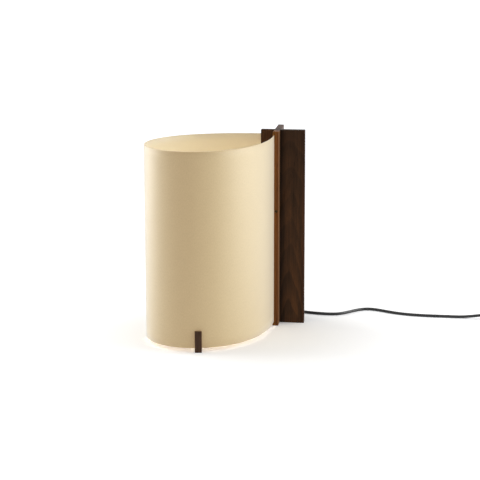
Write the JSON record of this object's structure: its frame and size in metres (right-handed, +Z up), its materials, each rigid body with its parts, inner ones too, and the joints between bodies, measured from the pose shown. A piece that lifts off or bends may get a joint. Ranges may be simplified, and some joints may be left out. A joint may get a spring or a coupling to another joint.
{
  "type": "table lamp",
  "caption": "Table lamp: crossed walnut boards grip the edges of a tall curled parchment shade that stands on a small wood foot, with a bulb inside and a hand switch on its cord.",
  "frame": {"origin": "middle of the post's cross on the table, at the bottom of the depth board", "axes": "+Z up along the post, +X along the side board's long wing towards the right of the picture, +Y along the depth board's long wing away from the viewer"},
  "size_m": [0.848, 0.3631, 0.4],
  "materials": {
    "walnut": "dark oiled walnut, satin",
    "walnut_light": "oiled walnut, lighter edge grain, satin",
    "parchment": "stiff translucent parchment card, matt",
    "black_steel": "black powder coat, and blackened on the lock screw",
    "zinc_steel": "zinc plated",
    "brass": "plain",
    "black_plastic": "moulded, fine texture",
    "ceramic": "glazed",
    "opal_glass": "opal, matt inside",
    "black_rubber": "smooth flexible cord sheath"
  },
  "bodies": {
    "post": {"post_side_board": "walnut", "post_depth_board": "walnut_light", "lock_screw": "black_steel", "holder_bracket": "black_steel", "stem_sleeve": "black_steel", "bracket_screw_side_1": "zinc_steel", "bracket_screw_side_2": "zinc_steel", "bracket_screw_depth_1": "zinc_steel", "bracket_screw_depth_2": "zinc_steel", "bulb_tip": "zinc_steel", "bulb_cap": "zinc_steel", "saddle_screw": "zinc_steel", "switch_pivot": "zinc_steel", "switch_screw_1": "zinc_steel", "switch_screw_2": "zinc_steel", "plug_pin_1": "zinc_steel", "plug_pin_2": "zinc_steel", "stem_tube": "brass", "stem_nut": "brass", "holder_shell": "brass", "holder_contact": "brass", "switch_terminal_in": "brass", "switch_terminal_out": "brass", "switch_blade": "brass", "holder_cap": "black_plastic", "holder_skirt": "black_plastic", "bulb_insulator": "black_plastic", "lead_saddle": "black_plastic", "switch_base": "black_plastic", "switch_cover": "black_plastic", "plug_body": "black_plastic", "holder_insert": "ceramic", "bulb_glass": "opal_glass", "inner_lead": "black_rubber", "cord_gland": "black_rubber", "cord_to_switch": "black_rubber", "switch_relief_in": "black_rubber", "switch_relief_out": "black_rubber", "cord_to_coil": "black_rubber", "cord_coil": "black_rubber", "coil_tie": "black_rubber", "cord_to_plug": "black_rubber", "plug_tail": "black_rubber"},
    "shade": {"shade_sheet": "parchment", "shade_foot": "walnut"},
    "rocker": {"switch_rocker": "black_plastic"}
  },
  "joints": [
    {"name": "shade_lift", "type": "slide", "parent": "post", "child": "shade", "axis": [0, 0, 1], "range_m": [0, 0.38]},
    {"name": "switch_rock", "type": "hinge", "parent": "post", "child": "rocker", "pos_m": [0.48, 0.07, 0.0145], "axis": [0, -1, 0], "range_deg": [0, 14]}
  ]
}
